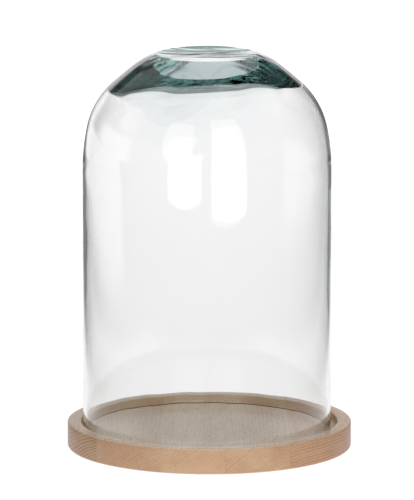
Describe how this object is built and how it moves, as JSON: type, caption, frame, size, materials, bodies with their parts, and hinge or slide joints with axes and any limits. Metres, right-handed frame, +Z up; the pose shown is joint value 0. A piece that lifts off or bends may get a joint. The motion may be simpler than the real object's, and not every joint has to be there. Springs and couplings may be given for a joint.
{
  "type": "bell jar dome",
  "caption": "Glass display dome with a thick rounded crown and flat top, standing loose in the shallow turned recess of a round wooden base on felt pads.",
  "frame": {"origin": "under the centre of the round base, on the surface that the felt pads stand on", "axes": "+Z up along the dome, +X to the right and +Y away from a viewer at the front; the staves of the base run along Y"},
  "size_m": [0.32, 0.32, 0.45],
  "materials": {
    "dome_glass": "clear blown glass, faint blue-green where thick",
    "beech": "sanded beech with a thin satin lacquer",
    "felt": "pressed wool felt"
  },
  "bodies": {
    "base": {"base_stave_1": "beech", "base_stave_2": "beech", "base_stave_3": "beech", "base_stave_4": "beech", "base_stave_5": "beech", "felt_pad_1": "felt", "felt_pad_2": "felt", "felt_pad_3": "felt", "felt_pad_4": "felt"},
    "dome": {"glass_dome": "dome_glass"}
  },
  "joints": [
    {"name": "dome_lift", "type": "slide", "parent": "base", "child": "dome", "axis": [0, 0, 1], "range_m": [0, 0.45]}
  ]
}
